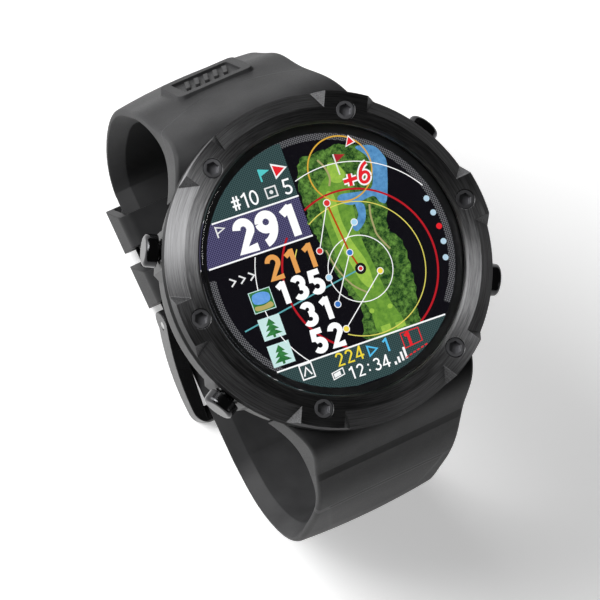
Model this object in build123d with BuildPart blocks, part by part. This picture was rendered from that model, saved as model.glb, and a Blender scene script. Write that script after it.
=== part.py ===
from build123d import *
import os

# ---------------------------------------------------------------- driving sizes (mm)
# Origin: table level, under the centre of the dial. +Z up through the dial, +Y to 12 o'clock,
# +X to 3 o'clock. The watch stands on its buckle and its fixed strap loop.
running_gap = 0.06       # radial gap of every pin or stem that turns or slides in a hole
free_gap = 0.3           # gap between bodies that only pass each other

bezel_r = 25.0
bezel_depth = 4.4
bezel_bore_r = 20.25
ledge_r = 19.2
ledge_depth = 2.4
facet_width = 2.45
lug_width = 6.6
lug_flare = 33.0         # slope of the lug flanks, degrees from vertical
screw_circle_r = 22.25
screw_head_r = 1.4
screw_head_h = 1.4
screw_shank_r = 0.8
screw_angles = [0, 60, 120, 180, 240, 300]

glass_inset = 0.05       # glass surface below the bezel's top
glass_t = 2.15
panel_r = 19.0
panel_t = 1.6

case_r = 23.8
case_bottom = 13.6       # depth below the bezel's top
cavity_r = 21.0
cavity_bottom = 11.4
lower_cavity_r = 18.0

back_r = 22.4
back_t = 1.6
back_screw_circle_r = 20.1
back_screw_head_r = 1.2

button_angle = 28.2      # above and below the 3-9 line
button_depth = 7.0
button_travel = 0.4      # how far a cap is pushed in, and what the switch leaves room for
cap_r = 2.45
cap_inner = 25.3         # distance of the cap's inner face from the dial axis
cap_outer = 27.2
stem_r = 1.2
stem_tip = 19.9
boss_face = 24.6
sleeve_r = 1.9
sleeve_inner = 21.2
sleeve_outer = 24.3
clip_at = 20.75
clip_t = 0.35
clip_r = 1.6
seal_at = 22.8
seal_wire_r = 0.19
seal_groove_r = 0.85
plunger_r = 0.7

board_r = 18.8
board_top = 8.3
board_t = 0.8

strap_half_w = 11.5
strap_t = 2.8            # buckle half, on its straight stretch
tail_t = 2.4
strap_inner = 53.0       # depth of the straight stretch's wrist face, which sets the loop's size
shoulder_depth = 16.0    # the halves keep their shape above this, and follow the loop's size below it
under_bar = 2.8          # room under the tail for the buckle's end bar and the strap loop
strap_bend_y = 25.2      # the buckle half is straight from here to the buckle
tail_bend_y = -21.4      # the tail is straight from here to its tip
strap_root_y = 17.8      # the shoulders of both halves stop here, level with the case's flanks
strap_bar_y = 24.9
strap_bar_depth = 11.0
strap_bar_r = 0.9
strap_bar_half = 12.0
case_lug_half_w = 7.0
case_lug_r = 1.9

strap_corner_r = 0.7
strap_rim = 0.9          # thickness of the rubber at its side edges
strap_crown_share = 0.2  # the outer face is crowned by this share of the thickness,
strap_crown_highest = 1.1  # but by no more than this
strap_bevel_w = 2.4      # the wrist side is bevelled along both edges
strap_bevel_deepest = 3.0

pad_size = (12.6, 8.6)   # low raised pad on the buckle half, with five slanted bars in its recess
pad_recess = (9.6, 6.0)
pad_rise = 0.1
pad_recess_depth = 0.5

tail_inner = strap_inner + strap_t + 0.2
tail_outer = tail_inner + tail_t
stand_height = tail_outer + under_bar  # table to the top of the bezel
tail_end = 28.0
slot_w = 3.0
slot_l = 5.75
slot_pitch = 8.0
slot_at = -1.9           # the slot that the tongue is in

pivot_y = 3.0
pivot_depth = strap_inner + strap_t / 2
pivot_r = 0.7
frame_inner = strap_half_w + 0.5
frame_t = 1.5
frame_end_y = -12.6
frame_end_r = 1.4
frame_pivot_end_r = 2.4
frame_bow = 0.8          # the side bars bulge outwards by this at mid-length
frame_corner_r = 3.0
tongue_w = 2.4
tongue_t = 1.3
tongue_drop_y = 0.5      # where the tongue leaves the strap's plane
tongue_end_y = -13.8

keeper_w = 7.4
keeper_fixed_y = 10.3
keeper_free_y = 19.8
keeper_side_t = 1.3
keeper_wrist_t = 1.4
keeper_set_back = 2.2
keeper_corner_r = 1.9

BUTTONS = {
    "2h": button_angle,
    "10h": 180 - button_angle,
    "8h": 180 + button_angle,
    "4h": -button_angle,
}


def h(depth):
    """Height above the table of a level given as a depth below the bezel's top."""
    return stand_height - depth


def radial(angle, distance):
    """Plane across a button's axis, its normal pointing away from the dial axis."""
    centre = Vector(distance, 0, h(button_depth)).rotate(Axis.Z, angle)
    outward = Vector(1, 0, 0).rotate(Axis.Z, angle)
    return Plane(origin=centre, x_dir=(0, 0, 1), z_dir=outward)


os.makedirs("parts", exist_ok=True)


def save(builder, name):
    builder.part.label = name
    export_step(builder.part, f"parts/{name}.step")


# ---------------------------------------------------------------- bezel
# One lug: a block that widens downwards, trimmed to the bezel's outer circle.
with BuildPart() as lug:
    with BuildSketch(Plane.XY.offset(h(0))):
        with Locations((bezel_r - 1.2, 0)):
            Rectangle(2 * facet_width, lug_width)
    extrude(amount=-facet_width, taper=-lug_flare)
    with BuildSketch(Plane.XY.offset(h(0))):
        Circle(bezel_r)
        Circle(bezel_r - 1.6 * facet_width, mode=Mode.SUBTRACT)
    extrude(amount=-facet_width, mode=Mode.INTERSECT)

with BuildPart() as bezel:
    with BuildSketch(Plane.XZ) as section:
        with BuildLine():
            Polyline(
                (ledge_r, h(bezel_depth)),
                (ledge_r, h(ledge_depth)),
                (bezel_bore_r, h(ledge_depth)),
                (bezel_bore_r, h(0.35)),
                (bezel_bore_r + 0.35, h(0)),
                (bezel_r - facet_width, h(0)),
                (bezel_r, h(facet_width)),
                (bezel_r, h(bezel_depth)),
                close=True,
            )
        make_face()
    revolve(axis=Axis.Z)
    with PolarLocations(0, 6):
        add(lug.part)
    with BuildSketch(Plane.XY.offset(h(0))):
        with PolarLocations(screw_circle_r, 6):
            Circle(screw_head_r + 0.1)
    extrude(amount=-screw_head_h - 0.1, mode=Mode.SUBTRACT)
    with BuildSketch(Plane.XY.offset(h(0))):
        with PolarLocations(screw_circle_r, 6):
            Circle(screw_shank_r + 0.1)
    extrude(amount=-bezel_depth, mode=Mode.SUBTRACT)
save(bezel, "bezel")

with BuildPart() as bezel_screws:
    with BuildSketch(Plane.XY.offset(h(0.1))):
        with PolarLocations(screw_circle_r, 6):
            Circle(screw_head_r)
    extrude(amount=-screw_head_h)
    with BuildSketch(Plane.XY.offset(h(0.1))):
        with PolarLocations(screw_circle_r, 6):
            RegularPolygon(1.0, 6)
    extrude(amount=-0.8, mode=Mode.SUBTRACT)
    with BuildSketch(Plane.XY.offset(h(0.1 + screw_head_h))):
        with PolarLocations(screw_circle_r, 6):
            Circle(screw_shank_r)
    extrude(amount=-6.0)
save(bezel_screws, "bezel_screws")

# ---------------------------------------------------------------- glass and display
with BuildPart() as cover_glass:
    with BuildSketch(Plane.XY.offset(h(glass_inset))):
        Circle(bezel_bore_r - 0.1)
    extrude(amount=-glass_t)
    chamfer(cover_glass.faces().sort_by(Axis.Z)[-1].edges(), 0.3)
save(cover_glass, "cover_glass")

with BuildPart() as glass_gasket:
    with BuildSketch(Plane.XY.offset(h(glass_inset + glass_t))):
        Circle(bezel_bore_r - 0.1)
        Circle(ledge_r + 0.1, mode=Mode.SUBTRACT)
    extrude(amount=-(ledge_depth - glass_inset - glass_t))
save(glass_gasket, "glass_gasket")

with BuildPart() as display_panel:
    with BuildSketch(Plane.XY.offset(h(glass_inset + glass_t))):
        Circle(panel_r)
    extrude(amount=-panel_t)
save(display_panel, "display_panel")

with BuildPart() as display_frame:
    with BuildSketch(Plane.XY.offset(h(bezel_depth + 0.1))):
        Circle(cavity_r - 0.4)
    extrude(amount=-0.6)
    with BuildSketch(Plane.XY.offset(h(bezel_depth + 0.1))):
        Circle(panel_r)
        Circle(panel_r - 1.4, mode=Mode.SUBTRACT)
    extrude(amount=bezel_depth + 0.1 - glass_inset - glass_t - panel_t)
    with BuildSketch(Plane.XY.offset(h(bezel_depth + 0.1))):
        with Locations((0, -15.4)):
            Rectangle(9.0, 1.6)
    extrude(amount=-0.6, mode=Mode.SUBTRACT)
save(display_frame, "display_frame")

with BuildPart() as display_flex:
    with BuildSketch(Plane.YZ.offset(-3.5)):
        with BuildLine() as path:
            Polyline(
                (-12.6, h(3.95)),
                (-15.4, h(3.95)),
                (-15.4, h(board_top - 0.35)),
                (-12.4, h(board_top - 0.35)),
            )
        trace(line_width=0.2)
    extrude(amount=7.0)
save(display_flex, "display_flex")

# ---------------------------------------------------------------- middle case
with BuildPart() as case_body:
    with BuildSketch(Plane.XZ):
        with BuildLine():
            Polyline(
                (cavity_r, h(bezel_depth)),
                (case_r, h(bezel_depth)),
                (case_r, h(case_bottom - 1.6)),
                (back_r + 0.2, h(case_bottom)),
                (lower_cavity_r, h(case_bottom)),
                (lower_cavity_r, h(cavity_bottom)),
                (cavity_r, h(cavity_bottom)),
                close=True,
            )
        make_face()
    revolve(axis=Axis.Z)
    # guard bosses around the buttons, wider at the case than at their face
    for angle in BUTTONS.values():
        with BuildSketch(Plane.XY.offset(h(bezel_depth)).rotated((0, 0, angle))):
            with BuildLine():
                Polyline(
                    (case_r - 1.6, -4.3),
                    (case_r - 0.6, -4.3),
                    (boss_face, -3.0),
                    (boss_face, 3.0),
                    (case_r - 0.6, 4.3),
                    (case_r - 1.6, 4.3),
                    close=True,
                )
            make_face()
        extrude(amount=-6.4)
    # one lug on each side carries the strap bar
    for side in (1, -1):
        with BuildSketch(Plane.YZ.offset(-case_lug_half_w)):
            with Locations((side * strap_bar_y, h(strap_bar_depth))):
                Circle(case_lug_r)
            with Locations((side * (strap_bar_y - 1.4), h(strap_bar_depth))):
                Rectangle(2.8, 2 * case_lug_r)
        extrude(amount=2 * case_lug_half_w)
        with BuildSketch(Plane.YZ.offset(-case_lug_half_w)):
            with Locations((side * strap_bar_y, h(strap_bar_depth))):
                Circle(strap_bar_r)
        extrude(amount=2 * case_lug_half_w, mode=Mode.SUBTRACT)
    for angle in BUTTONS.values():
        with BuildSketch(radial(angle, cavity_r - 0.8)):
            Circle(sleeve_r)
        extrude(amount=boss_face - cavity_r + 1.8, mode=Mode.SUBTRACT)
    with BuildSketch(Plane.XY.offset(h(bezel_depth))):
        with PolarLocations(screw_circle_r, 6):
            Circle(screw_shank_r)
    extrude(amount=-3.6, mode=Mode.SUBTRACT)
    with BuildSketch(Plane.XY.offset(h(case_bottom))):
        with PolarLocations(back_screw_circle_r, 4, start_angle=45):
            Circle(screw_shank_r)
    extrude(amount=2.0, mode=Mode.SUBTRACT)
save(case_body, "case_body")

with BuildPart() as button_sleeves:
    for angle in BUTTONS.values():
        with BuildSketch(radial(angle, sleeve_inner)):
            Circle(sleeve_r)
            Circle(stem_r + running_gap, mode=Mode.SUBTRACT)
        extrude(amount=sleeve_outer - sleeve_inner)
save(button_sleeves, "button_sleeves")

# ---------------------------------------------------------------- case back
with BuildPart() as case_back:
    with BuildSketch(Plane.XY.offset(h(case_bottom))):
        Circle(back_r)
    extrude(amount=-back_t)
    chamfer(case_back.faces().sort_by(Axis.Z)[0].edges(), 0.5)
    with BuildSketch(Plane.XY.offset(h(case_bottom))):
        Circle(lower_cavity_r + 1.0)
        Circle(lower_cavity_r + 0.3, mode=Mode.SUBTRACT)
    extrude(amount=-0.5, mode=Mode.SUBTRACT)
    with BuildSketch(Plane.XY.offset(h(case_bottom))):
        with PolarLocations(back_screw_circle_r, 4, start_angle=45):
            Circle(screw_shank_r + 0.1)
        with Locations((0, -14)):
            SlotOverall(11.0, 3.4)
    extrude(amount=-back_t, mode=Mode.SUBTRACT)
    with BuildSketch(Plane.XY.offset(h(case_bottom + back_t))):
        with PolarLocations(back_screw_circle_r, 4, start_angle=45):
            Circle(back_screw_head_r + 0.1)
    extrude(amount=0.9, mode=Mode.SUBTRACT)
    # shallow step around the middle of the back
    with BuildSketch(Plane.XY.offset(h(case_bottom + back_t))):
        Circle(17.2)
        Circle(16.8, mode=Mode.SUBTRACT)
    extrude(amount=0.2, mode=Mode.SUBTRACT)
save(case_back, "case_back")

with BuildPart() as case_back_screws:
    with BuildSketch(Plane.XY.offset(h(case_bottom + back_t - 0.1))):
        with PolarLocations(back_screw_circle_r, 4, start_angle=45):
            Circle(back_screw_head_r)
    extrude(amount=0.8)
    with BuildSketch(Plane.XY.offset(h(case_bottom + back_t - 0.1))):
        with PolarLocations(back_screw_circle_r, 4, start_angle=45):
            Rectangle(1.5, 0.35)
            Rectangle(0.35, 1.5)
    extrude(amount=0.4, mode=Mode.SUBTRACT)
    with BuildSketch(Plane.XY.offset(h(case_bottom + back_t - 0.9))):
        with PolarLocations(back_screw_circle_r, 4, start_angle=45):
            Circle(screw_shank_r)
    extrude(amount=2.5)
save(case_back_screws, "case_back_screws")

with BuildPart() as case_back_gasket:
    with BuildSketch(Plane.XY.offset(h(case_bottom + 0.5))):
        Circle(lower_cavity_r + 1.0)
        Circle(lower_cavity_r + 0.3, mode=Mode.SUBTRACT)
    extrude(amount=0.5)
save(case_back_gasket, "case_back_gasket")

with BuildPart() as contact_base:
    with BuildSketch(Plane.XY.offset(h(case_bottom - 0.2))):
        with Locations((0, -14)):
            SlotOverall(11.0, 3.4)
        with GridLocations(2.5, 1, 4, 1):
            with Locations((0, -14)):
                Circle(0.7, mode=Mode.SUBTRACT)
    extrude(amount=-back_t - 0.2)
save(contact_base, "contact_base")

with BuildPart() as charging_contacts:
    with BuildSketch(Plane.XY.offset(h(case_bottom - 0.6))):
        with Locations((0, -14)):
            with GridLocations(2.5, 1, 4, 1):
                Circle(0.7)
    extrude(amount=-back_t - 0.6)
save(charging_contacts, "charging_contacts")

# ---------------------------------------------------------------- inside the case
with BuildPart() as inner_frame:
    with BuildSketch(Plane.XY.offset(h(bezel_depth + 0.7))):
        Circle(cavity_r - 0.4)
        Circle(board_r + 0.15, mode=Mode.SUBTRACT)
    extrude(amount=-(cavity_bottom - bezel_depth - 0.7))
    with BuildSketch(Plane.XY.offset(h(board_top + board_t))):
        Circle(cavity_r - 0.4)
        Circle(lower_cavity_r - 0.1, mode=Mode.SUBTRACT)
    extrude(amount=-0.6)
    # windows for the button stems and clips
    for angle in BUTTONS.values():
        with BuildSketch(radial(angle, 17.0)):
            Rectangle(5.2, 5.2)
        extrude(amount=5.0, mode=Mode.SUBTRACT)
save(inner_frame, "inner_frame")

with BuildPart() as main_board:
    with BuildSketch(Plane.XY.offset(h(board_top))):
        Circle(board_r)
        for angle in BUTTONS.values():
            with Locations(Location((0, 0, 0), (0, 0, angle))):
                with Locations((20.2, 0)):
                    Rectangle(2.6, 5.0, mode=Mode.SUBTRACT)
    extrude(amount=-board_t)
save(main_board, "main_board")

with BuildPart() as board_shield:
    with BuildSketch(Plane.XY.offset(h(board_top))):
        with Locations((1, -4)):
            RectangleRounded(15, 9, 0.6)
    extrude(amount=1.4)
    fillet(board_shield.faces().sort_by(Axis.Z)[-1].edges(), 0.3)
save(board_shield, "board_shield")

with BuildPart() as gps_antenna:
    with BuildSketch(Plane.XY.offset(h(board_top))):
        with Locations((0, 9)):
            Rectangle(12, 12)
    extrude(amount=2.2)
    with BuildSketch(Plane.XY.offset(h(board_top - 2.2))):
        with Locations((0, 9)):
            Rectangle(9, 9)
    extrude(amount=0.1)
save(gps_antenna, "gps_antenna")

with BuildPart() as vibration_motor:
    with BuildSketch(Plane.XY.offset(h(board_top))):
        with Locations((-12, 0)):
            Circle(4.0)
    extrude(amount=2.6)
    chamfer(vibration_motor.faces().sort_by(Axis.Z)[-1].edges(), 0.3)
save(vibration_motor, "vibration_motor")

with BuildPart() as battery:
    with BuildSketch(Plane.XY.offset(h(board_top + board_t + 0.3))):
        RectangleRounded(27, 20, 1.5)
    extrude(amount=-3.7)
    fillet(battery.edges().filter_by(Plane.XY), 0.6)
save(battery, "battery")

switch_w = 3.6
switch_h = 2.6
switch_face = 19.2
with BuildPart() as side_switches:
    for angle in BUTTONS.values():
        with BuildSketch(radial(angle, switch_face)):
            Rectangle(switch_h, switch_w)
        extrude(amount=-2.2)
        with BuildSketch(radial(angle, switch_face)):
            Circle(plunger_r + running_gap)
        extrude(amount=-1.3 - button_travel, mode=Mode.SUBTRACT)
save(side_switches, "side_switches")

# ---------------------------------------------------------------- buttons
for hour, angle in BUTTONS.items():
    with BuildPart() as cap:
        with BuildSketch(radial(angle, stem_tip)):
            Circle(stem_r)
        extrude(amount=cap_inner - stem_tip + 0.2)
        with BuildSketch(radial(angle, clip_at)):
            Circle(stem_r)
            Circle(stem_r - 0.3, mode=Mode.SUBTRACT)
        extrude(amount=clip_t, mode=Mode.SUBTRACT)
        with BuildSketch(radial(angle, seal_at - 0.25)):
            Circle(stem_r)
            Circle(seal_groove_r, mode=Mode.SUBTRACT)
        extrude(amount=0.5, mode=Mode.SUBTRACT)
        with BuildSketch(radial(angle, cap_inner)):
            Circle(cap_r)
        extrude(amount=cap_outer - cap_inner)
        face = cap.faces().sort_by_distance(radial(angle, cap_outer).origin)[0]
        fillet(face.edges(), 0.6)
    save(cap, f"button_{hour}_cap")

    with BuildPart() as seal:
        with Locations(radial(angle, seal_at).location):
            Torus(seal_groove_r + 0.01 + seal_wire_r, seal_wire_r)
    save(seal, f"button_{hour}_o_ring")

    with BuildPart() as clip:
        with BuildSketch(radial(angle, clip_at)):
            Circle(clip_r)
            Circle(stem_r - 0.3, mode=Mode.SUBTRACT)
            with Locations((0, -1.5)):
                Rectangle(1.5, 3.0, mode=Mode.SUBTRACT)
        extrude(amount=clip_t)
    save(clip, f"button_{hour}_clip")

    with BuildPart() as plunger:
        with BuildSketch(radial(angle, stem_tip)):
            Circle(plunger_r)
        extrude(amount=-1.6)
    save(plunger, f"button_{hour}_plunger")

# ---------------------------------------------------------------- strap
# Each station is a cross-section of the rubber: y and depth of its outer face, y and depth of its
# wrist face, half width.
def fall(share):
    """Depth at a share of the way from the shoulders down to the straight stretch."""
    return shoulder_depth + share * (strap_inner - shoulder_depth)


UPPER = [
    (15.0, 4.6, 15.0, 15.3, 19.2),
    (20.2, 4.6, 18.9, 15.4, 15.4),
    (25.2, 5.6, 22.4, 16.2, 13.5),
    (28.0, 10.0, 25.0, fall(0.041), 12.7),
    (31.4, 16.2, 28.6, fall(0.141), 12.4),
    (34.4, fall(0.23), 31.3, fall(0.297), 12.1),
    (36.2, fall(0.514), 32.6, fall(0.524), 11.8),
    (34.6, fall(0.735), 31.5, fall(0.708), strap_half_w + 0.2),
    (32.2, fall(0.892), 29.8, fall(0.841), strap_half_w + 0.1),
    (29.0, fall(1.016), 27.6, fall(0.946), strap_half_w),
    (strap_bend_y, strap_inner + strap_t, strap_bend_y, strap_inner, strap_half_w),
]
LOWER = [
    (-15.0, 4.6, -15.0, 15.3, 19.4),
    (-19.6, 4.6, -18.6, 15.4, 15.6),
    (-25.2, 5.6, -22.4, 16.2, 13.6),
    (-27.6, 10.2, -24.9, fall(0.046), 12.9),
    (-31.5, fall(0.027), -28.7, fall(0.154), 12.2),
    (-34.3, fall(0.243), -31.4, fall(0.297), 11.9),
    (-36.0, fall(0.459), -33.2, fall(0.476), 11.8),
    (-37.2, fall(0.676), -34.4, fall(0.662), strap_half_w + 0.3),
    (-36.3, fall(0.849), -33.6, fall(0.808), strap_half_w + 0.2),
    (-32.9, fall(1.005), -31.0, fall(0.946), strap_half_w + 0.1),
    (-27.2, fall(1.114), -26.2, fall(1.049), strap_half_w),
    (tail_bend_y, tail_outer, tail_bend_y, tail_inner, strap_half_w),
]


def station(y_out, d_out, y_in, d_in):
    """Plane of a strap cross-section and the strap's thickness there."""
    outer = Vector(0, y_out, h(d_out))
    inner = Vector(0, y_in, h(d_in))
    across = outer - inner
    normal = Vector(1, 0, 0).cross(across)
    plane = Plane(origin=(outer + inner) * 0.5, x_dir=(1, 0, 0), z_dir=normal)
    return plane, across.length


def strap_section(y_out, d_out, y_in, d_in, half_w):
    """Cross-section of the rubber: a crowned outer face, wide bevels on the wrist side."""
    plane, thickness = station(y_out, d_out, y_in, d_in)
    crown = min(strap_crown_share * thickness, strap_crown_highest)
    bevel = min(thickness - crown - strap_rim, strap_bevel_deepest)
    top = thickness / 2
    with BuildSketch(plane) as section:
        with BuildLine():
            ThreePointArc((-half_w, top - crown), (0, top), (half_w, top - crown))
            Polyline(
                (half_w, top - crown),
                (half_w, bevel - top),
                (half_w - strap_bevel_w, -top),
                (strap_bevel_w - half_w, -top),
                (-half_w, bevel - top),
                (-half_w, top - crown),
            )
        make_face()
        outer_corners = section.vertices().filter_by_position(Axis.Y, top - crown - 0.01, top - crown + 0.01)
        fillet(outer_corners, strap_corner_r)
    return section.sketch


def case_socket(side):
    """Space taken out of a strap half's end by the case, its lug and its bar."""
    with BuildPart() as socket:
        with BuildSketch(Plane.XY.offset(h(case_bottom + back_t + 2))):
            Circle(case_r + 0.1)
        extrude(amount=14)
        with BuildSketch(Plane.XY.offset(h(bezel_depth + 0.1))):
            Circle(bezel_r + 3)
        extrude(amount=4)
        with BuildSketch(Plane.YZ.offset(-case_lug_half_w - 0.2)):
            with Locations((side * strap_bar_y, h(strap_bar_depth))):
                Circle(case_lug_r + 0.2)
            with Locations((side * (strap_bar_y - 2), h(strap_bar_depth))):
                Rectangle(4, 2 * case_lug_r + 0.4)
        extrude(amount=2 * case_lug_half_w + 0.4)
        with BuildSketch(Plane.YZ.offset(-strap_bar_half)):
            with Locations((side * strap_bar_y, h(strap_bar_depth))):
                Circle(strap_bar_r)
        extrude(amount=2 * strap_bar_half)
        with BuildSketch(Plane.XY.offset(h(case_bottom + back_t + 2))):
            Rectangle(60, 2 * strap_root_y)
        extrude(amount=14)
    return socket.part


with BuildPart() as strap_upper:
    sections = [strap_section(*row) for row in UPPER]
    loft(sections)
    # straight stretch to the buckle, its end rounded about the buckle bar
    extrude(sections[-1], amount=pivot_y - strap_bend_y)
    with BuildSketch(Plane.YZ.offset(-strap_half_w)):
        with Locations((pivot_y, h(pivot_depth))):
            Circle(strap_t / 2)
    extrude(amount=2 * strap_half_w)
    # raised panel on the outer face
    panel_plane, panel_depth = station(33.6, 20.5, 30.0, 22.0)
    pad_top = panel_plane.rotated((90, 0, 0)).offset(-panel_depth / 2 - pad_rise)
    with BuildSketch(pad_top):
        RectangleRounded(*pad_size, 1.0)
    extrude(amount=pad_rise + 1.6, taper=-20)
    with BuildSketch(pad_top):
        RectangleRounded(*pad_recess, 0.4)
        with GridLocations(pad_recess[0] / 6, 0, 5, 1):
            Rectangle(pad_recess[0] / 14, 0.55 * pad_recess[1], rotation=18, mode=Mode.SUBTRACT)
    extrude(amount=pad_recess_depth, mode=Mode.SUBTRACT)
    add(case_socket(1), mode=Mode.SUBTRACT)
    # tongue slot and bar hole at the buckle end
    with BuildSketch(Plane.XY.offset(h(strap_inner - 1))):
        with Locations((0, pivot_y - 1.5)):
            Rectangle(3.2, 7.4)
    extrude(amount=-strap_t - 2, mode=Mode.SUBTRACT)
    with BuildSketch(Plane.YZ.offset(-strap_half_w)):
        with Locations((pivot_y, h(pivot_depth))):
            Circle(pivot_r + running_gap)
    extrude(amount=2 * strap_half_w, mode=Mode.SUBTRACT)
save(strap_upper, "strap_upper")

with BuildPart() as strap_lower:
    sections = [strap_section(*row) for row in LOWER]
    loft(sections)
    extrude(sections[-1], amount=tail_end - tail_bend_y)
    # rounded tip
    with BuildSketch(Plane.XY.offset(h(tail_outer + 1))):
        with Locations((0, tail_end)):
            Rectangle(3 * strap_half_w, 2 * strap_half_w)
        with Locations((0, tail_end - strap_half_w - 2)):
            Circle(strap_half_w + 2, mode=Mode.SUBTRACT)
    extrude(amount=tail_t + 2, mode=Mode.SUBTRACT)
    with BuildSketch(Plane.XY.offset(h(tail_outer + 1))):
        with Locations(*[(0, slot_at + slot_pitch * k) for k in range(-2, 3)]):
            RectangleRounded(slot_w, slot_l, 1.0)
    extrude(amount=tail_t + 2, mode=Mode.SUBTRACT)
    add(case_socket(-1), mode=Mode.SUBTRACT)
save(strap_lower, "strap_lower")

with BuildPart() as strap_bars:
    for side in (1, -1):
        with BuildSketch(Plane.YZ.offset(-strap_bar_half)):
            with Locations((side * strap_bar_y, h(strap_bar_depth))):
                Circle(strap_bar_r)
        extrude(amount=2 * strap_bar_half)
save(strap_bars, "strap_bars")

# ---------------------------------------------------------------- strap loops
def keeper(centre_y, top, bottom, gap, outer_bottom):
    """A closed loop around both strap layers, square to the straight stretch."""
    inner_w = 2 * (strap_half_w + gap)
    outer_w = inner_w + 2 * keeper_side_t
    inner_top = top + keeper_wrist_t
    with BuildPart() as loop:
        with BuildSketch(Plane.XZ.offset(-centre_y + keeper_w / 2)):
            with Locations((0, h((top + outer_bottom) / 2))):
                RectangleRounded(outer_w, outer_bottom - top, keeper_corner_r)
            with Locations((0, h((inner_top + bottom) / 2))):
                RectangleRounded(inner_w, bottom - inner_top, 0.6, mode=Mode.SUBTRACT)
        extrude(amount=-keeper_w)
        # the wrist run is set back, so the side walls slant
        with BuildSketch(Plane.YZ.offset(-2 * strap_half_w)):
            with BuildLine():
                Polyline(
                    (centre_y + keeper_w / 2 - keeper_set_back, h(top) + 1),
                    (centre_y + keeper_w / 2 - keeper_set_back, h(top) - 1),
                    (centre_y + keeper_w / 2, h(outer_bottom) + 1),
                    (centre_y + keeper_w, h(outer_bottom) + 1),
                    (centre_y + keeper_w, h(top) + 1),
                    close=True,
                )
            make_face()
        extrude(amount=4 * strap_half_w, mode=Mode.SUBTRACT)
    return loop


keeper_top = strap_inner - keeper_wrist_t
keeper_fixed = keeper(keeper_fixed_y, keeper_top, tail_outer + free_gap, 0.15, stand_height)
save(keeper_fixed, "keeper_fixed")
keeper_free = keeper(
    keeper_free_y, keeper_top - free_gap, tail_outer + free_gap, free_gap, stand_height - 1.2
)
save(keeper_free, "keeper_free")

# ---------------------------------------------------------------- buckle
frame_bar_depth = stand_height - frame_end_r
frame_half = frame_inner + frame_t
frame_front_y = frame_end_y - frame_end_r - 0.05
frame_mid_y = (frame_front_y + pivot_y) / 2
# plan view: bowed sides, large corners at the end bar, open towards the strap
with BuildSketch() as frame_plan:
    with BuildLine():
        Polyline((-frame_half, 20), (frame_half, 20), (frame_half, pivot_y))
        ThreePointArc(
            (frame_half, pivot_y), (frame_half + frame_bow, frame_mid_y), (frame_half, frame_front_y)
        )
        Line((frame_half, frame_front_y), (-frame_half, frame_front_y))
        ThreePointArc(
            (-frame_half, frame_front_y), (-frame_half - frame_bow, frame_mid_y), (-frame_half, pivot_y)
        )
        Line((-frame_half, pivot_y), (-frame_half, 20))
    make_face()
    fillet(vertices().group_by(Axis.Y)[0], frame_corner_r)
with BuildPart() as buckle_frame:
    # side view: from the rounded pivot end down to the end bar
    with BuildSketch(Plane.YZ.offset(-frame_inner - frame_t - frame_bow)):
        with BuildLine():
            CenterArc((pivot_y, h(pivot_depth)), frame_pivot_end_r, 0, 360)
            CenterArc((frame_end_y, h(frame_bar_depth)), frame_end_r, 0, 360)
        make_hull()
    extrude(amount=2 * (frame_inner + frame_t + frame_bow))
    with BuildSketch(Plane.XY.offset(-1)):
        Rectangle(80, 80)
        add(frame_plan.sketch, mode=Mode.SUBTRACT)
    extrude(amount=20, mode=Mode.SUBTRACT)
    with BuildSketch(Plane.XY.offset(-1)):
        with Locations((0, frame_end_y + frame_end_r)):
            Rectangle(2 * frame_inner, 40, align=(Align.CENTER, Align.MIN))
    extrude(amount=20, mode=Mode.SUBTRACT)
    # room for the tail over the end bar
    with BuildSketch(Plane.XY.offset(h(tail_outer + free_gap))):
        with Locations((0, frame_end_y)):
            Rectangle(2 * frame_inner, 10)
    extrude(amount=10, mode=Mode.SUBTRACT)
    # notch for the tongue's tip
    with BuildSketch(Plane.XZ.offset(-frame_end_y - frame_end_r)):
        with Locations((0, 0)):
            Rectangle(tongue_w + 2 * free_gap, 2 * (1.45 + free_gap))
    extrude(amount=2 * frame_end_r, mode=Mode.SUBTRACT)
    with BuildSketch(Plane.YZ.offset(-frame_inner - frame_t - frame_bow)):
        with Locations((pivot_y, h(pivot_depth))):
            Circle(pivot_r)
    extrude(amount=2 * (frame_inner + frame_t + frame_bow), mode=Mode.SUBTRACT)
save(buckle_frame, "buckle_frame")

with BuildPart() as buckle_bar:
    with BuildSketch(Plane.YZ.offset(-frame_inner - frame_t)):
        with Locations((pivot_y, h(pivot_depth))):
            Circle(pivot_r)
    extrude(amount=2 * (frame_inner + frame_t))
save(buckle_bar, "buckle_bar")

tongue_low = stand_height - 0.15 - tongue_t / 2
drop = tongue_low - pivot_depth
with BuildPart() as buckle_tongue:
    with BuildSketch(Plane.YZ.offset(-tongue_w / 2)):
        with BuildLine():
            Polyline(
                (pivot_y - 1.0, h(pivot_depth)),
                (tongue_drop_y, h(pivot_depth)),
                (tongue_drop_y - drop, h(tongue_low)),
                (tongue_end_y, h(tongue_low)),
            )
        trace(line_width=tongue_t)
        with Locations((pivot_y, h(pivot_depth))):
            Circle(strap_t / 2 - 0.1)
            Circle(pivot_r + running_gap, mode=Mode.SUBTRACT)
    extrude(amount=tongue_w)
save(buckle_tongue, "buckle_tongue")
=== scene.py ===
import bpy
import bmesh
import math
from mathutils import Euler, Matrix, Vector


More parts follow.
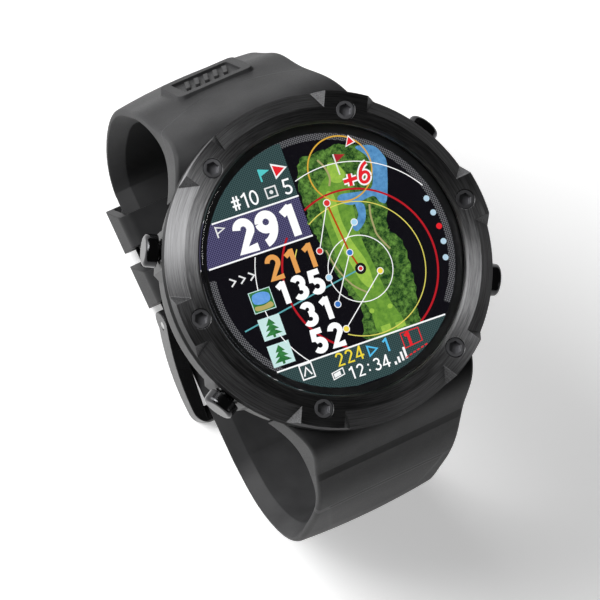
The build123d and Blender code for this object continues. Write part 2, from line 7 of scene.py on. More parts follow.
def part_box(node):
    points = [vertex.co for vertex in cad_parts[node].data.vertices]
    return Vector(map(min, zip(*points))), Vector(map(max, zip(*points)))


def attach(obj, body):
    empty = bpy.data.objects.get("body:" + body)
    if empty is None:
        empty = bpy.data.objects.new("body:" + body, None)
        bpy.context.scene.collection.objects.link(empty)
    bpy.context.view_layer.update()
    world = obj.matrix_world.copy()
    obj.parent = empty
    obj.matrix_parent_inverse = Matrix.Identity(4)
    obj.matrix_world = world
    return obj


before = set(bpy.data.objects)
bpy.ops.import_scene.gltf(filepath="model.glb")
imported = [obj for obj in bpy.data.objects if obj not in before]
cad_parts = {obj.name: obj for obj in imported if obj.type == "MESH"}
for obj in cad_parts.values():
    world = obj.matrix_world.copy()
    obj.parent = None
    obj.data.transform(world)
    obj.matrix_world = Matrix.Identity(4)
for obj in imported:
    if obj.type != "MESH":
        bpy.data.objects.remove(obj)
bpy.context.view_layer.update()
MM = 0.001


# ------------------------------------------------------------------ materials
def material(name):
    m = bpy.data.materials.new(name)
    m.use_nodes = True
    return m, m.node_tree, m.node_tree.nodes["Principled BSDF"]


def node(tree, kind, **inputs):
    n = tree.nodes.new(kind)
    for key, value in inputs.items():
        if hasattr(n, key):
            setattr(n, key, value)
        else:
            n.inputs[key].default_value = value
    return n


def maths(tree, op, a, b=None):
    n = tree.nodes.new("ShaderNodeMath")
    n.operation = op
    for i, v in enumerate((a, b)):
        if v is None:
            continue
        if isinstance(v, (int, float)):
            n.inputs[i].default_value = v
        else:
            tree.links.new(v, n.inputs[i])
    return n.outputs[0]


def noise(tree, vector, scale, detail=3.0, rough=0.5):
    n = tree.nodes.new("ShaderNodeTexNoise")
    n.inputs["Scale"].default_value = scale
    n.inputs["Detail"].default_value = detail
    n.inputs["Roughness"].default_value = rough
    tree.links.new(vector, n.inputs["Vector"])
    return n.outputs["Fac"]


def spread(tree, value, low, high, out_low, out_high):
    n = tree.nodes.new("ShaderNodeMapRange")
    n.inputs["From Min"].default_value = low
    n.inputs["From Max"].default_value = high
    n.inputs["To Min"].default_value = out_low
    n.inputs["To Max"].default_value = out_high
    tree.links.new(value, n.inputs["Value"])
    return n.outputs["Result"]


def tint(tree, value, dark, light):
    n = tree.nodes.new("ShaderNodeMix")
    n.data_type = "RGBA"
    n.inputs[6].default_value = (*dark, 1)
    n.inputs[7].default_value = (*light, 1)
    tree.links.new(value, n.inputs[0])
    return n.outputs[2]


def bump(tree, shader, height, distance, strength=1.0, edge=0.0):
    n = tree.nodes.new("ShaderNodeBump")
    n.inputs["Distance"].default_value = distance
    n.inputs["Strength"].default_value = strength
    tree.links.new(height, n.inputs["Height"])
    if edge:
        e = tree.nodes.new("ShaderNodeBevel")
        e.samples = 4
        e.inputs["Radius"].default_value = edge
        tree.links.new(e.outputs[0], n.inputs["Normal"])
    tree.links.new(n.outputs[0], shader.inputs["Normal"])


def object_space(tree):
    return tree.nodes.new("ShaderNodeTexCoord").outputs["Object"]


def plain(name, color, rough, metal=0.0, grain=3000, depth=0.004, edge=0.08, vary=0.25, coat=0.0):
    """A moulded, turned or plated surface: fine grain, uneven gloss and colour, softened edges."""
    m, t, s = material(name)
    at = object_space(t)
    fine = noise(t, at, grain, 4)
    broad = noise(t, at, 160, 3)
    dark = [c * (1 - vary) for c in color]
    light = [min(1.0, c * (1 + vary)) for c in color]
    t.links.new(tint(t, spread(t, broad, 0.3, 0.7, 0, 1), dark, light), s.inputs["Base Color"])
    t.links.new(spread(t, broad, 0.3, 0.7, rough * 0.85, rough * 1.15), s.inputs["Roughness"])
    s.inputs["Metallic"].default_value = metal
    s.inputs["Coat Weight"].default_value = coat
    bump(t, s, fine, depth * MM, 0.6, edge * MM)
    return m


def turned(name, color, rough, streak, aniso, shade_z, rings=5200.0, edge=0.1, vary=0.3):
    """Plated metal brushed around the dial's axis; below the given shade height the colour is darkened as
    painted shade.
    """
    m, t, s = material(name)
    at = object_space(t)
    split = node(t, "ShaderNodeSeparateXYZ")
    t.links.new(at, split.inputs[0])
    x, y, z = split.outputs
    radius = maths(t, "SQRT", maths(t, "ADD", maths(t, "MULTIPLY", x, x), maths(t, "MULTIPLY", y, y)))
    angle = maths(t, "ARCTAN2", y, x)
    around = node(t, "ShaderNodeCombineXYZ")
    t.links.new(maths(t, "MULTIPLY", radius, rings), around.inputs[0])
    t.links.new(maths(t, "MULTIPLY", maths(t, "COSINE", angle), 5.0), around.inputs[1])
    sway = maths(t, "MULTIPLY", maths(t, "SINE", angle), 5.0)
    t.links.new(maths(t, "ADD", maths(t, "MULTIPLY", z, rings), sway), around.inputs[2])
    lines = noise(t, around.outputs[0], 1.0, 5, 0.65)
    broad = noise(t, at, 90, 2)
    dark = [c * (1 - vary) for c in color]
    light = [min(1.0, c * (1 + vary)) for c in color]
    # painted shade: below this height the base colour drops to a fifth of its dark tone, darkening the
    # bezel's hollows
    unshaded = spread(t, z, shade_z - 0.1 * MM, shade_z, 0, 1)
    streaks_and_shade = maths(t, "MULTIPLY", spread(t, lines, 0.35, 0.65, 0.3, 1), unshaded)
    t.links.new(tint(t, streaks_and_shade, [c * 0.2 for c in dark], light), s.inputs["Base Color"])
    rough_lines = spread(t, lines, 0.3, 0.7, rough * 0.8, rough * 1.2)
    t.links.new(maths(t, "ADD", rough_lines, spread(t, broad, 0.3, 0.7, -0.03, 0.03)), s.inputs["Roughness"])
    s.inputs["Metallic"].default_value = 1.0
    s.inputs["Anisotropic"].default_value = aniso
    s.inputs["Anisotropic Rotation"].default_value = 0.25
    tangent = node(t, "ShaderNodeTangent", direction_type="RADIAL", axis="Z")
    t.links.new(tangent.outputs[0], s.inputs["Tangent"])
    bump(t, s, lines, streak * MM, 0.7, edge * MM)
    return m


def rubber(name, color, rough, creases=False):
    """Matt silicone: very fine skin and slight mottling, with the strap's moulded steps."""
    m, t, s = material(name)
    at = object_space(t)
    skin = noise(t, at, 5200, 3, 0.6)
    waves = noise(t, at, 220, 3)
    height = maths(t, "ADD", maths(t, "MULTIPLY", skin, 0.007), maths(t, "MULTIPLY", waves, 0.02))
    if creases:
        split = node(t, "ShaderNodeSeparateXYZ")
        t.links.new(at, split.inputs[0])
        x, y, z = [maths(t, "MULTIPLY", c, 1 / MM) for c in split.outputs]
        x2 = maths(t, "MULTIPLY", x, x)
        upper = maths(t, "SUBTRACT", z, maths(t, "ADD", maths(t, "MULTIPLY", x2, 0.018), 46.4))
        lower = maths(t, "ADD", maths(t, "SUBTRACT", z, 40.0), maths(t, "MULTIPLY", x2, 0.02))
        beside = maths(t, "SUBTRACT", maths(t, "ABSOLUTE", x), 2.5)
        taper = maths(t, "ADD", beside, maths(t, "MULTIPLY", z, -0.2))
        near_edge = spread(t, x2, 4, 60, 0, 1)
        on_upper = maths(t, "MULTIPLY", near_edge, spread(t, y, 9, 10, 0, 1))
        step_up = maths(t, "MULTIPLY", spread(t, upper, -0.12, 0.12, 0, 0.28), on_upper)
        on_lower = spread(t, y, -28, -29, 0, 1)
        step_low = maths(t, "MULTIPLY", spread(t, lower, -0.9, 0.5, 0, 0.5), on_lower)
        below = maths(t, "MULTIPLY", spread(t, z, 22, 26, 0, 1), spread(t, lower, -0.5, 0.2, 1, 0))
        side_only = maths(t, "MULTIPLY", spread(t, taper, -0.4, 0.4, 0.3, 0), below)
        step_side = maths(t, "MULTIPLY", side_only, on_lower)
        for part in (step_up, step_low, step_side):
            height = maths(t, "ADD", height, part)
    dark = [c * 0.85 for c in color]
    light = [c * 1.2 for c in color]
    t.links.new(tint(t, spread(t, waves, 0.3, 0.7, 0, 1), dark, light), s.inputs["Base Color"])
    t.links.new(spread(t, skin, 0.3, 0.7, rough - 0.05, rough + 0.06), s.inputs["Roughness"])
    s.inputs["Specular IOR Level"].default_value = 0.14
    bump(t, s, height, 1.0 * MM, 0.8, 0.25 * MM)
    return m


def lit(name, color, strength=1.0, other=None, pattern=None, pitch=0.3):
    """A lit area of the display. pattern: 'dots' or 'trees' or 'grass' or 'water'."""
    m, t, s = material(name)
    s.inputs["Base Color"].default_value = (0.002, 0.002, 0.002, 1)
    s.inputs["Specular IOR Level"].default_value = 0.0
    s.inputs["Emission Strength"].default_value = strength
    at = object_space(t)
    if pattern == "dots":
        split = node(t, "ShaderNodeSeparateXYZ")
        t.links.new(at, split.inputs[0])
        turn = 2 * math.pi / (pitch * MM)
        waves = [maths(t, "SINE", maths(t, "MULTIPLY", split.outputs[i], turn)) for i in (0, 1)]
        fac = spread(t, maths(t, "MULTIPLY", *waves), -0.2, 0.35, 0, 1)
    elif pattern == "trees":
        cells = node(t, "ShaderNodeTexVoronoi")
        cells.inputs["Scale"].default_value = 1 / (pitch * MM)
        t.links.new(at, cells.inputs["Vector"])
        crown = spread(t, cells.outputs["Distance"], 0.0, 0.75, 1, 0)
        leaves = spread(t, noise(t, at, 2600, 4, 0.75), 0.35, 0.65, -0.25, 0.55)
        fac = maths(t, "ADD", maths(t, "MULTIPLY", crown, 0.7), leaves)
    else:
        fac = spread(t, noise(t, at, 1100 if pattern else 400, 4, 0.65), 0.3, 0.7, 0, 1)
    other = other or [c * 0.94 for c in color]
    t.links.new(tint(t, fac, other, color), s.inputs["Emission Color"])
    return m


def clear_glass(name):
    m, t, s = material(name)
    s.inputs["Base Color"].default_value = (0.97, 0.985, 1.0, 1)
    s.inputs["Transmission Weight"].default_value = 1.0
    s.inputs["IOR"].default_value = 1.45
    at = object_space(t)
    t.links.new(spread(t, noise(t, at, 300, 2), 0.3, 0.7, 0.0, 0.03), s.inputs["Roughness"])
    return m


BEZEL_SHADE_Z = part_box("bezel")[1].z - 2.5 * MM  # painted shade darkens the bezel's hollows below this height

M = {
    "bezel": turned("bezel_black_steel", (0.22, 0.22, 0.224), 0.6, 0.004, 0.95, BEZEL_SHADE_Z),
    "screw": plain("screw_grey_steel", (0.2, 0.2, 0.21), 0.5, 1.0, edge=0.1),
    "glass": clear_glass("cover_glass_clear"),
    "black": plain("black_print", (0.006, 0.006, 0.007), 0.4, edge=0),
    "case": plain("case_black_satin", (0.012, 0.012, 0.0125), 0.42, grain=4200, depth=0.006, edge=0.15),
    "back": plain("back_black_spark", (0.022, 0.022, 0.023), 0.55, grain=2600, depth=0.02, edge=0.12),
    "button": plain("button_black_polish", (0.045, 0.045, 0.047), 0.14, 1.0, edge=0.2, vary=0.1),
    "steel": plain("turned_steel", (0.5, 0.5, 0.5), 0.3, 1.0),
    "tin": plain("tinned_shield", (0.55, 0.55, 0.52), 0.35, 1.0, depth=0.01),
    "board": plain("board_green", (0.01, 0.07, 0.03), 0.3, grain=1200, depth=0.01, vary=0.4),
    "gold": plain("gold_plate", (0.75, 0.5, 0.18), 0.22, 1.0),
    "ceramic": plain("antenna_ceramic", (0.5, 0.46, 0.4), 0.5),
    "foil": plain("battery_foil", (0.5, 0.51, 0.53), 0.35, 1.0, grain=900, depth=0.05),
    "amber": plain("flex_amber", (0.4, 0.17, 0.03), 0.25),
    "switch": plain("switch_plastic", (0.05, 0.05, 0.05), 0.5),
    "seal": plain("seal_rubber", (0.015, 0.015, 0.015), 0.6),
    "strap": rubber("strap_silicone", (0.03, 0.03, 0.031), 0.5, True),
    "keeper": rubber("keeper_silicone", (0.024, 0.024, 0.025), 0.45),
    "buckle": plain("buckle_black_polish", (0.02, 0.02, 0.021), 0.2, 0.5, edge=0.4),
}
FINISH = {
    "bezel": "bezel", "bezel_screws": "screw", "cover_glass": "glass", "glass_gasket": "black",
    "display_panel": "black", "display_frame": "switch", "display_flex": "amber", "case_body": "case",
    "button_sleeves": "steel", "case_back": "back", "case_back_screws": "steel",
    "case_back_gasket": "seal", "contact_base": "black", "charging_contacts": "gold",
    "inner_frame": "switch", "main_board": "board", "board_shield": "tin", "gps_antenna": "ceramic",
    "vibration_motor": "tin", "battery": "foil", "side_switches": "switch", "strap_upper": "strap",
    "strap_lower": "strap", "strap_bars": "steel", "keeper_fixed": "keeper", "keeper_free": "keeper",
    "buckle_frame": "buckle", "buckle_bar": "steel", "buckle_tongue": "buckle",
}
for name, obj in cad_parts.items():
    key = FINISH.get(name)
    if key is None:
        part = name.split("_", 2)[2]
        key = {"cap": "button", "o_ring": "seal", "clip": "steel", "plunger": "switch"}[part]
    obj.data.materials.clear()
    obj.data.materials.append(M[key])

# ------------------------------------------------------------------ display picture
low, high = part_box("display_panel")
dial_top = high.z
unit = (high.x - low.x) / 2 / 19.0
turn = Matrix.Rotation(math.radians(-5.4), 3, "Z")
LAYER = 0.012 * MM


def on_dial(u, v, layer):
    p = turn @ Vector((u * unit, v * unit, 0))
    return Vector((p.x, p.y, dial_top + (layer + 2) * LAYER))


class Picture:
    """Flat lit shapes of one colour, at one layer above the panel."""

    def __init__(self, name, mat, layer):
        self.name, self.mat, self.layer = name, mat, layer
        self.bm = bmesh.new()

    def shape(self, points):
        verts = [self.bm.verts.new(on_dial(u, v, self.layer)) for u, v in points]
        face = self.bm.faces.new(verts)
        face.normal_update()
        if face.normal.z < 0:
            face.normal_flip()

    def stroke(self, points, width, closed=False):
        n = len(points)
        pts = [Vector(p) for p in points]
        left, right = [], []
        for i in range(n):
            if closed:
                a, b = pts[i - 1], pts[(i + 1) % n]
                d1, d2 = (pts[i] - a).normalized(), (b - pts[i]).normalized()
            else:
                d1 = (pts[i] - pts[i - 1]).normalized() if i else (pts[1] - pts[0]).normalized()
                d2 = (pts[i + 1] - pts[i]).normalized() if i < n - 1 else d1
            d = (d1 + d2).normalized()
            k = min(1.6, 1 / max(0.3, d.dot(d1)))
            side = Vector((-d.y, d.x)) * width * k / 2
            left.append(pts[i] + side)
            right.append(pts[i] - side)
        for i in range(n if closed else n - 1):
            j = (i + 1) % n
            self.shape([left[i], right[i], right[j], left[j]])

    def disc(self, u, v, r, n=28):
        turns = [2 * math.pi * k / n for k in range(n)]
        self.shape([(u + r * math.cos(a), v + r * math.sin(a)) for a in turns])

    def done(self):
        for f in self.bm.faces:
            f.normal_update()
            if f.normal.z < 0:
                f.normal_flip()
        mesh = bpy.data.meshes.new(self.name)
        self.bm.to_mesh(mesh)
        self.bm.free()
        mesh.materials.append(self.mat)
        obj = bpy.data.objects.new(self.name, mesh)
        bpy.context.scene.collection.objects.link(obj)
        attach(obj, "case_and_strap")
        return obj


def arc(u, v, ru, rv, a0, a1, n=14):
    """Points of an ellipse's arc, angles in degrees."""
    turns = [math.radians(a0 + (a1 - a0) * k / n) for k in range(n + 1)]
    return [(u + ru * math.cos(a), v + rv * math.sin(a)) for a in turns]


six = [arc(0.31, 0.29, 0.23, 0.23, 0, 360, 20), arc(0.56, 0.31, 0.48, 0.62, 176, 98)]
GLYPH = {
    "0": [arc(0.31, 0.5, 0.23, 0.43, 0, 360, 24)],
    "1": [[(0.40, 0.0), (0.40, 1.0)], [(0.42, 0.93), (0.12, 0.76)]],
    "2": [arc(0.31, 0.70, 0.22, 0.23, 172, -28) + [(0.12, 0.07), (0.60, 0.07)]],
    "3": [arc(0.29, 0.72, 0.21, 0.21, 155, -90), arc(0.29, 0.29, 0.24, 0.22, 90, -155)],
    "4": [[(0.45, 0.0), (0.45, 1.0)], [(0.43, 0.93), (0.05, 0.27), (0.64, 0.27)]],
    "5": [[(0.56, 0.93), (0.17, 0.93), (0.12, 0.52)], arc(0.30, 0.31, 0.24, 0.24, 128, -150)],
    "6": six,
    "9": [[(0.62 - u, 1 - v) for u, v in line] for line in six],
    "#": [
        [(0.2, 0.05), (0.26, 0.95)],
        [(0.42, 0.05), (0.48, 0.95)],
        [(0.04, 0.66), (0.6, 0.66)],
        [(0.04, 0.34), (0.6, 0.34)],
    ],
    "+": [[(0.02, 0.45), (0.62, 0.45)], [(0.32, 0.15), (0.32, 0.75)]],
    ":": [[(0.30, 0.18), (0.30, 0.32)], [(0.30, 0.62), (0.30, 0.76)]],
}


def number(picture, text, u, v, height, weight, pitch, wide=1.0, slant=0.0):
    """Digits in a row: u, v is the middle of the first digit, pitch the step to the next."""
    for k, ch in enumerate(text):
        for line in GLYPH[ch]:
            pts = [
                (u + k * pitch + ((a - 0.31) * wide + slant * (b - 0.5)) * height, v + (b - 0.5) * height)
                for a, b in line
            ]
            picture.stroke(pts, weight * height)


def circle_part(radius, inside):
    """Points of a ring line that lie within the lit face and where inside(u, v) holds, as runs."""
    runs, run = [], []
    for k in range(241):
        a = 2 * math.pi * k / 240
        u, v = PLAYER[0] + radius * math.cos(a), PLAYER[1] + radius * math.sin(a)
        if math.hypot(u, v) < 18.2 and inside(u, v):
            run.append((u, v))
        elif run:
            runs.append(run)
            run = []
    if run:
        runs.append(run)
    return [r for r in runs if len(r) > 2]


def smooth(points, closed=True, cuts=5):
    """Catmull-Rom curve through the points."""
    n, out = len(points), []
    for i in range(n if closed else n - 1):
        p = [Vector(points[(i + k) % n if closed else min(max(i + k, 0), n - 1)]) for k in (-1, 0, 1, 2)]
        for c in range(cuts):
            t = c / cuts
            square = (2 * p[0] - 5 * p[1] + 4 * p[2] - p[3]) * t * t
            cube = (3 * p[1] - 3 * p[2] + p[3] - p[0]) * t ** 3
            out.append(tuple(0.5 * (2 * p[1] + (p[2] - p[0]) * t + square + cube)))
    if not closed:
        out.append(points[-1])
    return out


def edge_u(v, radius=18.9):
    return math.sqrt(max(0.0, radius * radius - v * v))


def band(v0, v1, u_right, radius=18.9, n=14):
    """Area of the lit face left of u_right between two heights."""
    steps = [v0 + (v1 - v0) * k / n for k in range(n + 1)]
    left = [(-edge_u(v, radius), v) for v in steps]
    right = [(min(u_right, edge_u(v, radius)), v) for v in reversed(steps)]
    return left + right


def round_outline(radius, n=120):
    turns = [2 * math.pi * k / n for k in range(n)]
    return [(radius * math.cos(a), radius * math.sin(a)) for a in turns]


PLAYER = (3.66, -2.57)
LINE_TOP, LINE_MID, LINE_LOW = 10.5, 4.3, -13.0
MAP = [
    (6.3, 15.9), (3.4, 15.7), (0.5, 15.5), (-0.5, 13.7), (-1.2, 11.1), (-1.2, 7.8), (-1.6, 6.3), (-1.1, 4.1),
    (-0.8, 1.9), (-0.4, -0.5), (0.3, -4.0), (0.8, -6.1), (1.8, -7.8), (1.1, -10.7), (1.0, -12.9),
    (9.0, -12.9),
    (9.8, -10.8), (10.6, -8.3), (11.0, -5.9), (11.2, -3.2), (11.1, -0.5), (10.0, 1.3), (9.8, 2.1),
    (11.0, 5.6), (12.9, 10.6), (12.9, 12.3), (11.9, 14.0), (10.5, 14.5), (8.6, 15.2),
]
FAIRWAY = [
    (3.3, 11.8), (5.6, 12.6), (6.5, 11.2), (5.8, 6.7), (5.4, 1.3), (5.9, -3.5), (6.3, -8.3), (7.2, -12.6),
    (3.1, -12.6), (2.9, -8.8), (1.6, -5.3), (0.8, -0.6), (0.8, 3.7), (0.8, 7.2), (1.2, 9.8),
]
LAWN = [
    (2.6, 9.6), (3.6, 9.0), (3.4, 5.0), (3.9, 1.5), (4.9, -2.0), (4.6, -5.8), (3.2, -4.6), (2.4, -1.0),
    (1.9, 3.0), (1.9, 7.0),
]
WATER = [
    (9.2, 14.7), (11.8, 14.1), (12.9, 12.3), (12.9, 10.6), (11.1, 5.8), (10.0, 5.8), (9.2, 7.0), (5.8, 6.7),
    (4.0, 7.9), (4.6, 8.7), (7.7, 8.2), (9.5, 8.3), (10.5, 10.6), (10.4, 12.9),
]
STREAM = [(6.3, 6.8), (7.5, 6.2), (6.9, 4.0), (5.2, 2.8), (4.7, 3.7), (6.1, 4.9)]

ring = Picture("screen_border_print", M["black"], -1)
ring.shape(round_outline(19.95))
ring.done()

dark = Picture("screen_black", lit("screen_black_lit", (0.004, 0.0035, 0.006), 1.0), 0)
dark.shape(round_outline(18.95))
dark.done()

RIM_LIT = lit("screen_rim_lit", (0.17, 0.17, 0.18), 1.0, (0.012, 0.012, 0.015), "dots", 0.42)
grey = Picture("screen_rim_dots", RIM_LIT, 1)
for a0, a1 in ((-38, 112), (172, 226)):
    for k in range(a0, a1, 3):
        corners = ((17.9, k), (18.9, k), (18.9, k + 3), (17.9, k + 3))
        grey.shape([(r * math.cos(math.radians(a)), r * math.sin(math.radians(a))) for r, a in corners])
grey.done()

TEAL_LIT = lit("screen_teal_lit", (0.055, 0.105, 0.105), 1.0, (0.02, 0.042, 0.045), "dots", 0.42)
teal = Picture("screen_teal", TEAL_LIT, 2)
teal.shape(band(LINE_TOP, 18.7, -1.6))
low_steps = [LINE_LOW - k * (18.7 + LINE_LOW) / 10 for k in range(11)]
teal.shape([(-edge_u(v), v) for v in low_steps] + [(edge_u(v), v) for v in reversed(low_steps)])
teal.done()

VIOLET_LIT = lit("screen_violet_lit", (0.125, 0.115, 0.24), 1.0, (0.028, 0.026, 0.075), "dots", 0.42)
violet = Picture("screen_violet", VIOLET_LIT, 2)
violet.shape(band(LINE_MID, LINE_TOP, -1.6))
violet.done()

TREES_LIT = lit("screen_trees_lit", (0.16, 0.34, 0.06), 1.0, (0.01, 0.045, 0.01), "trees", 0.95)
trees = Picture("screen_map_trees", TREES_LIT, 3)
outline = enumerate(smooth(MAP, cuts=4))
trees.shape([(u + 0.16 * math.sin(2.3 * k), v + 0.16 * math.cos(1.7 * k)) for k, (u, v) in outline])
trees.done()

GRASS_LIT = lit("screen_fairway_lit", (0.2, 0.4, 0.05), 1.0, (0.09, 0.23, 0.03), "grass")
grass = Picture("screen_map_fairway", GRASS_LIT, 4)
grass.shape(smooth(FAIRWAY))
grass.done()

LAWN_LIT = lit("screen_lawn_lit", (0.4, 0.62, 0.08), 1.0, (0.24, 0.45, 0.06), "grass")
lawn = Picture("screen_map_lawn", LAWN_LIT, 5)
lawn.shape(smooth(LAWN))
lawn.shape(smooth([(4.2, 13.6), (5.6, 13.2), (6.3, 11.4), (5.2, 10.4), (3.8, 11.2)]))
for u, v in ((3.1, -9.0), (6.0, -9.2)):
    lawn.disc(u, v, 0.38, 12)
for u, v in ((4.3, -12.1), (6.6, -12.3)):
    lawn.shape([(u - 0.75, v - 0.4), (u + 0.75, v - 0.4), (u + 0.75, v + 0.5), (u - 0.75, v + 0.5)])
lawn.done()

WATER_LIT = lit("screen_water_lit", (0.14, 0.38, 0.68), 1.0, (0.06, 0.2, 0.42), "water")
water = Picture("screen_map_water", WATER_LIT, 5)
water.shape(smooth(WATER))
water.shape(smooth(STREAM))
water.done()

sand = Picture("screen_map_paths", lit("screen_paths_lit", (0.42, 0.38, 0.17), 1.0), 6)
sand.stroke(smooth([(3.0, 14.6), (3.7, 13.2), (3.9, 11.6), (3.4, 10.4)], False), 0.3)
sand.stroke(smooth([(8.3, 6.0), (7.9, 4.4), (7.8, 2.6), (7.9, 1.2), (9.0, -1.2)], False), 0.28)
sand.stroke(smooth([(-0.4, 1.6), (0.2, -1.4), (1.6, -4.4), (3.4, -6.2)], False), 0.24)
sand.done()

white = Picture("screen_white_lines", lit("screen_white_lit", (1.0, 1.0, 1.0), 1.05), 8)
for v, u0, u1 in ((LINE_TOP, -15.5, -1.55), (LINE_MID, -18.2, -1.55), (LINE_LOW, -13.7, 13.6)):
    white.stroke([(u0, v), (u1, v)], 0.24)
for run in circle_part(16.0, lambda u, v: v > LINE_LOW and not (u < -1.6 and v > LINE_MID)):
    white.stroke(run, 0.14)
for run in circle_part(4.95, lambda u, v: v > LINE_LOW):
    white.stroke(run, 0.14)
for a, b in (
    ((2.14, 8.14), (-1.37, 1.78)),
    ((5.13, 4.2), (-1.39, -2.34)),
    ((2.9, 0.17), (-1.5, -6.47)),
    ((6.39, -3.82), (-1.54, -10.29)),
):
    white.stroke([a, b], 0.15)
white.done()

yellow = Picture("screen_yellow_lines", lit("screen_yellow_lit", (0.8, 0.72, 0.14), 1.0), 7)
for run in circle_part(10.0, lambda u, v: v > LINE_LOW and not (u < -1.6 and (v > LINE_MID - 1 or v < 1.0))):
    yellow.stroke(run, 0.15)
yellow.done()
amber = Picture("screen_amber_ring", lit("screen_amber_lit", (0.75, 0.42, 0.05), 1.0), 7)
amber.stroke(arc(5.84, 12.35, 4.9, 4.9, 0, 360, 72)[:-1], 0.22, True)
amber.done()

red = Picture("screen_red_lines", lit("screen_red_lit", (0.5, 0.012, 0.02), 1.0), 7)
def beside_numbers(u, v):
    return v > LINE_LOW and not (u < -8.5) and not (-8.5 < u < -1.6 and 5.2 < v < 9.5)


for run in circle_part(11.9, beside_numbers):
    red.stroke(run, 0.3)
red.done()

cyan = Picture("screen_cyan_lines", lit("screen_cyan_lit", (0.12, 0.42, 0.46), 1.0), 7)
cyan.stroke([(2.9, -2.7), (-16.2, -5.9)], 0.22)
cyan.done()

orange = Picture("screen_orange", lit("screen_orange_lit", (0.85, 0.38, 0.1), 1.0), 9)
number(orange, "211", -8.75, 1.62, 3.7, 0.2, 2.85)
orange.done()

route = Picture("screen_route", lit("screen_route_lit", (0.5, 0.07, 0.008), 1.0), 9)
route.stroke([(2.14, 8.14), (2.9, 0.17), PLAYER], 0.28)
route.done()

digits = Picture("screen_white_numbers", lit("screen_digits_lit", (1.0, 1.0, 1.0), 1.1), 10)
number(digits, "291", -11.25, 7.35, 4.8, 0.25, 3.6, 1.0)
number(digits, "135", -8.75, -2.35, 3.4, 0.25, 2.65)
number(digits, "31", -6.1, -6.5, 3.4, 0.25, 2.75)
number(digits, "52", -6.1, -10.65, 3.4, 0.25, 2.85)
number(digits, "#10", -11.0, 12.3, 2.3, 0.12, 1.45)
number(digits, "5", -2.75, 12.3, 2.4, 0.12, 1)
number(digits, "12:34", -2.95, -16.65, 1.9, 0.13, 1.36)
digits.done()

small = Picture("screen_yellow_numbers", lit("screen_gold_lit", (0.95, 0.75, 0.05), 1.0), 10)
number(small, "224", -4.05, -14.2, 2.05, 0.13, 1.55)
small.done()

blue = Picture("screen_cyan_number", lit("screen_sky_lit", (0.1, 0.55, 0.9), 1.0), 10)
number(blue, "1", 3.4, -14.4, 2.05, 0.15, 1)
blue.stroke([(0.5, -15.2), (0.5, -13.7), (1.9, -14.45)], 0.28, True)
blue.done()

score_back = Picture("screen_score_edge", lit("screen_score_edge_lit", (1.0, 1.0, 1.0), 1.0), 10)
number(score_back, "+", 6.75, 10.45, 3.0, 0.33, 1, 1.2, 0.15)
number(score_back, "6", 9.15, 10.7, 3.2, 0.3, 1, 0.95, 0.2)
score_back.shape([(-4.1, 16.3), (-1.75, 15.1), (-3.95, 13.8)])
score_back.shape([(7.75, 15.1), (9.5, 15.4), (8.75, 16.75)])
score_back.stroke([(-10.3, -15.35), (-8.4, -15.35), (-8.4, -13.2), (-10.3, -13.2)], 0.2, True)
score_back.stroke([(-9.95, -14.9), (-9.35, -13.7), (-8.75, -14.9)], 0.24)
score_back.stroke([(-5.9, -16.75), (-4.1, -16.45), (-4.1, -15.5), (-5.9, -15.8)], 0.16, True)
score_back.shape([(-5.7, -16.55), (-4.6, -16.38), (-4.6, -15.75), (-5.7, -15.95)])
for k in range(4):
    u, v = 3.7 + 0.62 * k, -17.65 + 0.12 * k
    score_back.shape([(u, v), (u + 0.36, v), (u + 0.36, v + 0.5 + 0.42 * k), (u, v + 0.5 + 0.42 * k)])
score_back.done()

score = Picture("screen_score", lit("screen_score_lit", (0.85, 0.02, 0.03), 1.0), 12)
number(score, "+", 6.75, 10.45, 3.0, 0.18, 1, 1.2, 0.15)
number(score, "6", 9.15, 10.7, 3.2, 0.15, 1, 0.95, 0.2)
score.shape([(-3.9, 15.9), (-2.2, 15.08), (-3.8, 14.2)])
score.shape([(7.98, 15.28), (9.25, 15.5), (8.7, 16.45)])
score.disc(17.35, -0.36, 0.46, 18)
for k in range(6):
    score.stroke([(5.6 + 0.68 * k, -17.15 + 0.17 * k), (6.05 + 0.68 * k, -17.04 + 0.17 * k)], 0.2)
number(score, "1", 6.9, -14.6, 2.05, 0.22, 1)
score.stroke([(6.0, -15.8), (8.9, -15.5), (8.9, -13.5), (6.0, -13.5)], 0.14, True)
score.done()

flag = Picture("screen_flag", lit("screen_flag_lit", (0.42, 0.02, 0.03), 1.0), 9)
flag.shape([(5.6, 14.7), (7.3, 14.15), (5.6, 13.35)])
flag.done()
pole = Picture("screen_flag_pole", lit("screen_pole_lit", (0.9, 0.9, 0.85), 1.0), 9)
pole.stroke([(5.56, 14.7), (5.54, 11.5)], 0.22)
pole.done()

for label, color, spots in (
    ("red", (0.75, 0.04, 0.04), ((2.14, 8.14, 0.45), (-1.37, 1.78, 0.42), (PLAYER[0], PLAYER[1], 0.3))),
    ("blue", (0.05, 0.2, 0.6), ((2.9, 0.17, 0.42), (-1.5, -6.47, 0.42))),
    ("sky", (0.45, 0.75, 0.95), ((5.13, 4.2, 0.42), (-1.39, -2.34, 0.42))),
    ("gold", (0.95, 0.75, 0.08), ((6.39, -3.82, 0.4), (-1.54, -10.29, 0.42))),
):
    dots = Picture("screen_dots_" + label, lit("screen_dots_%s_lit" % label, color, 1.0), 14)
    rims = Picture("screen_rims_" + label, lit("screen_rims_%s_lit" % label, (0.95, 0.95, 0.95), 1.0), 13)
    for u, v, r in spots:
        dots.disc(u, v, r, 20)
        rims.disc(u, v, r + 0.13, 20)
    dots.done()
    rims.done()
scale = Picture("screen_scale_dots", lit("screen_scale_lit", (0.5, 0.68, 0.8), 1.0), 12)
for u, v in ((16.95, 4.12), (17.2, 1.83), (17.2, -2.69), (16.65, -5.06)):
    scale.disc(u, v, 0.46, 18)
scale.done()
marker = Picture("screen_player_rim", lit("screen_player_rim_lit", (0.01, 0.01, 0.01), 1.0), 12)
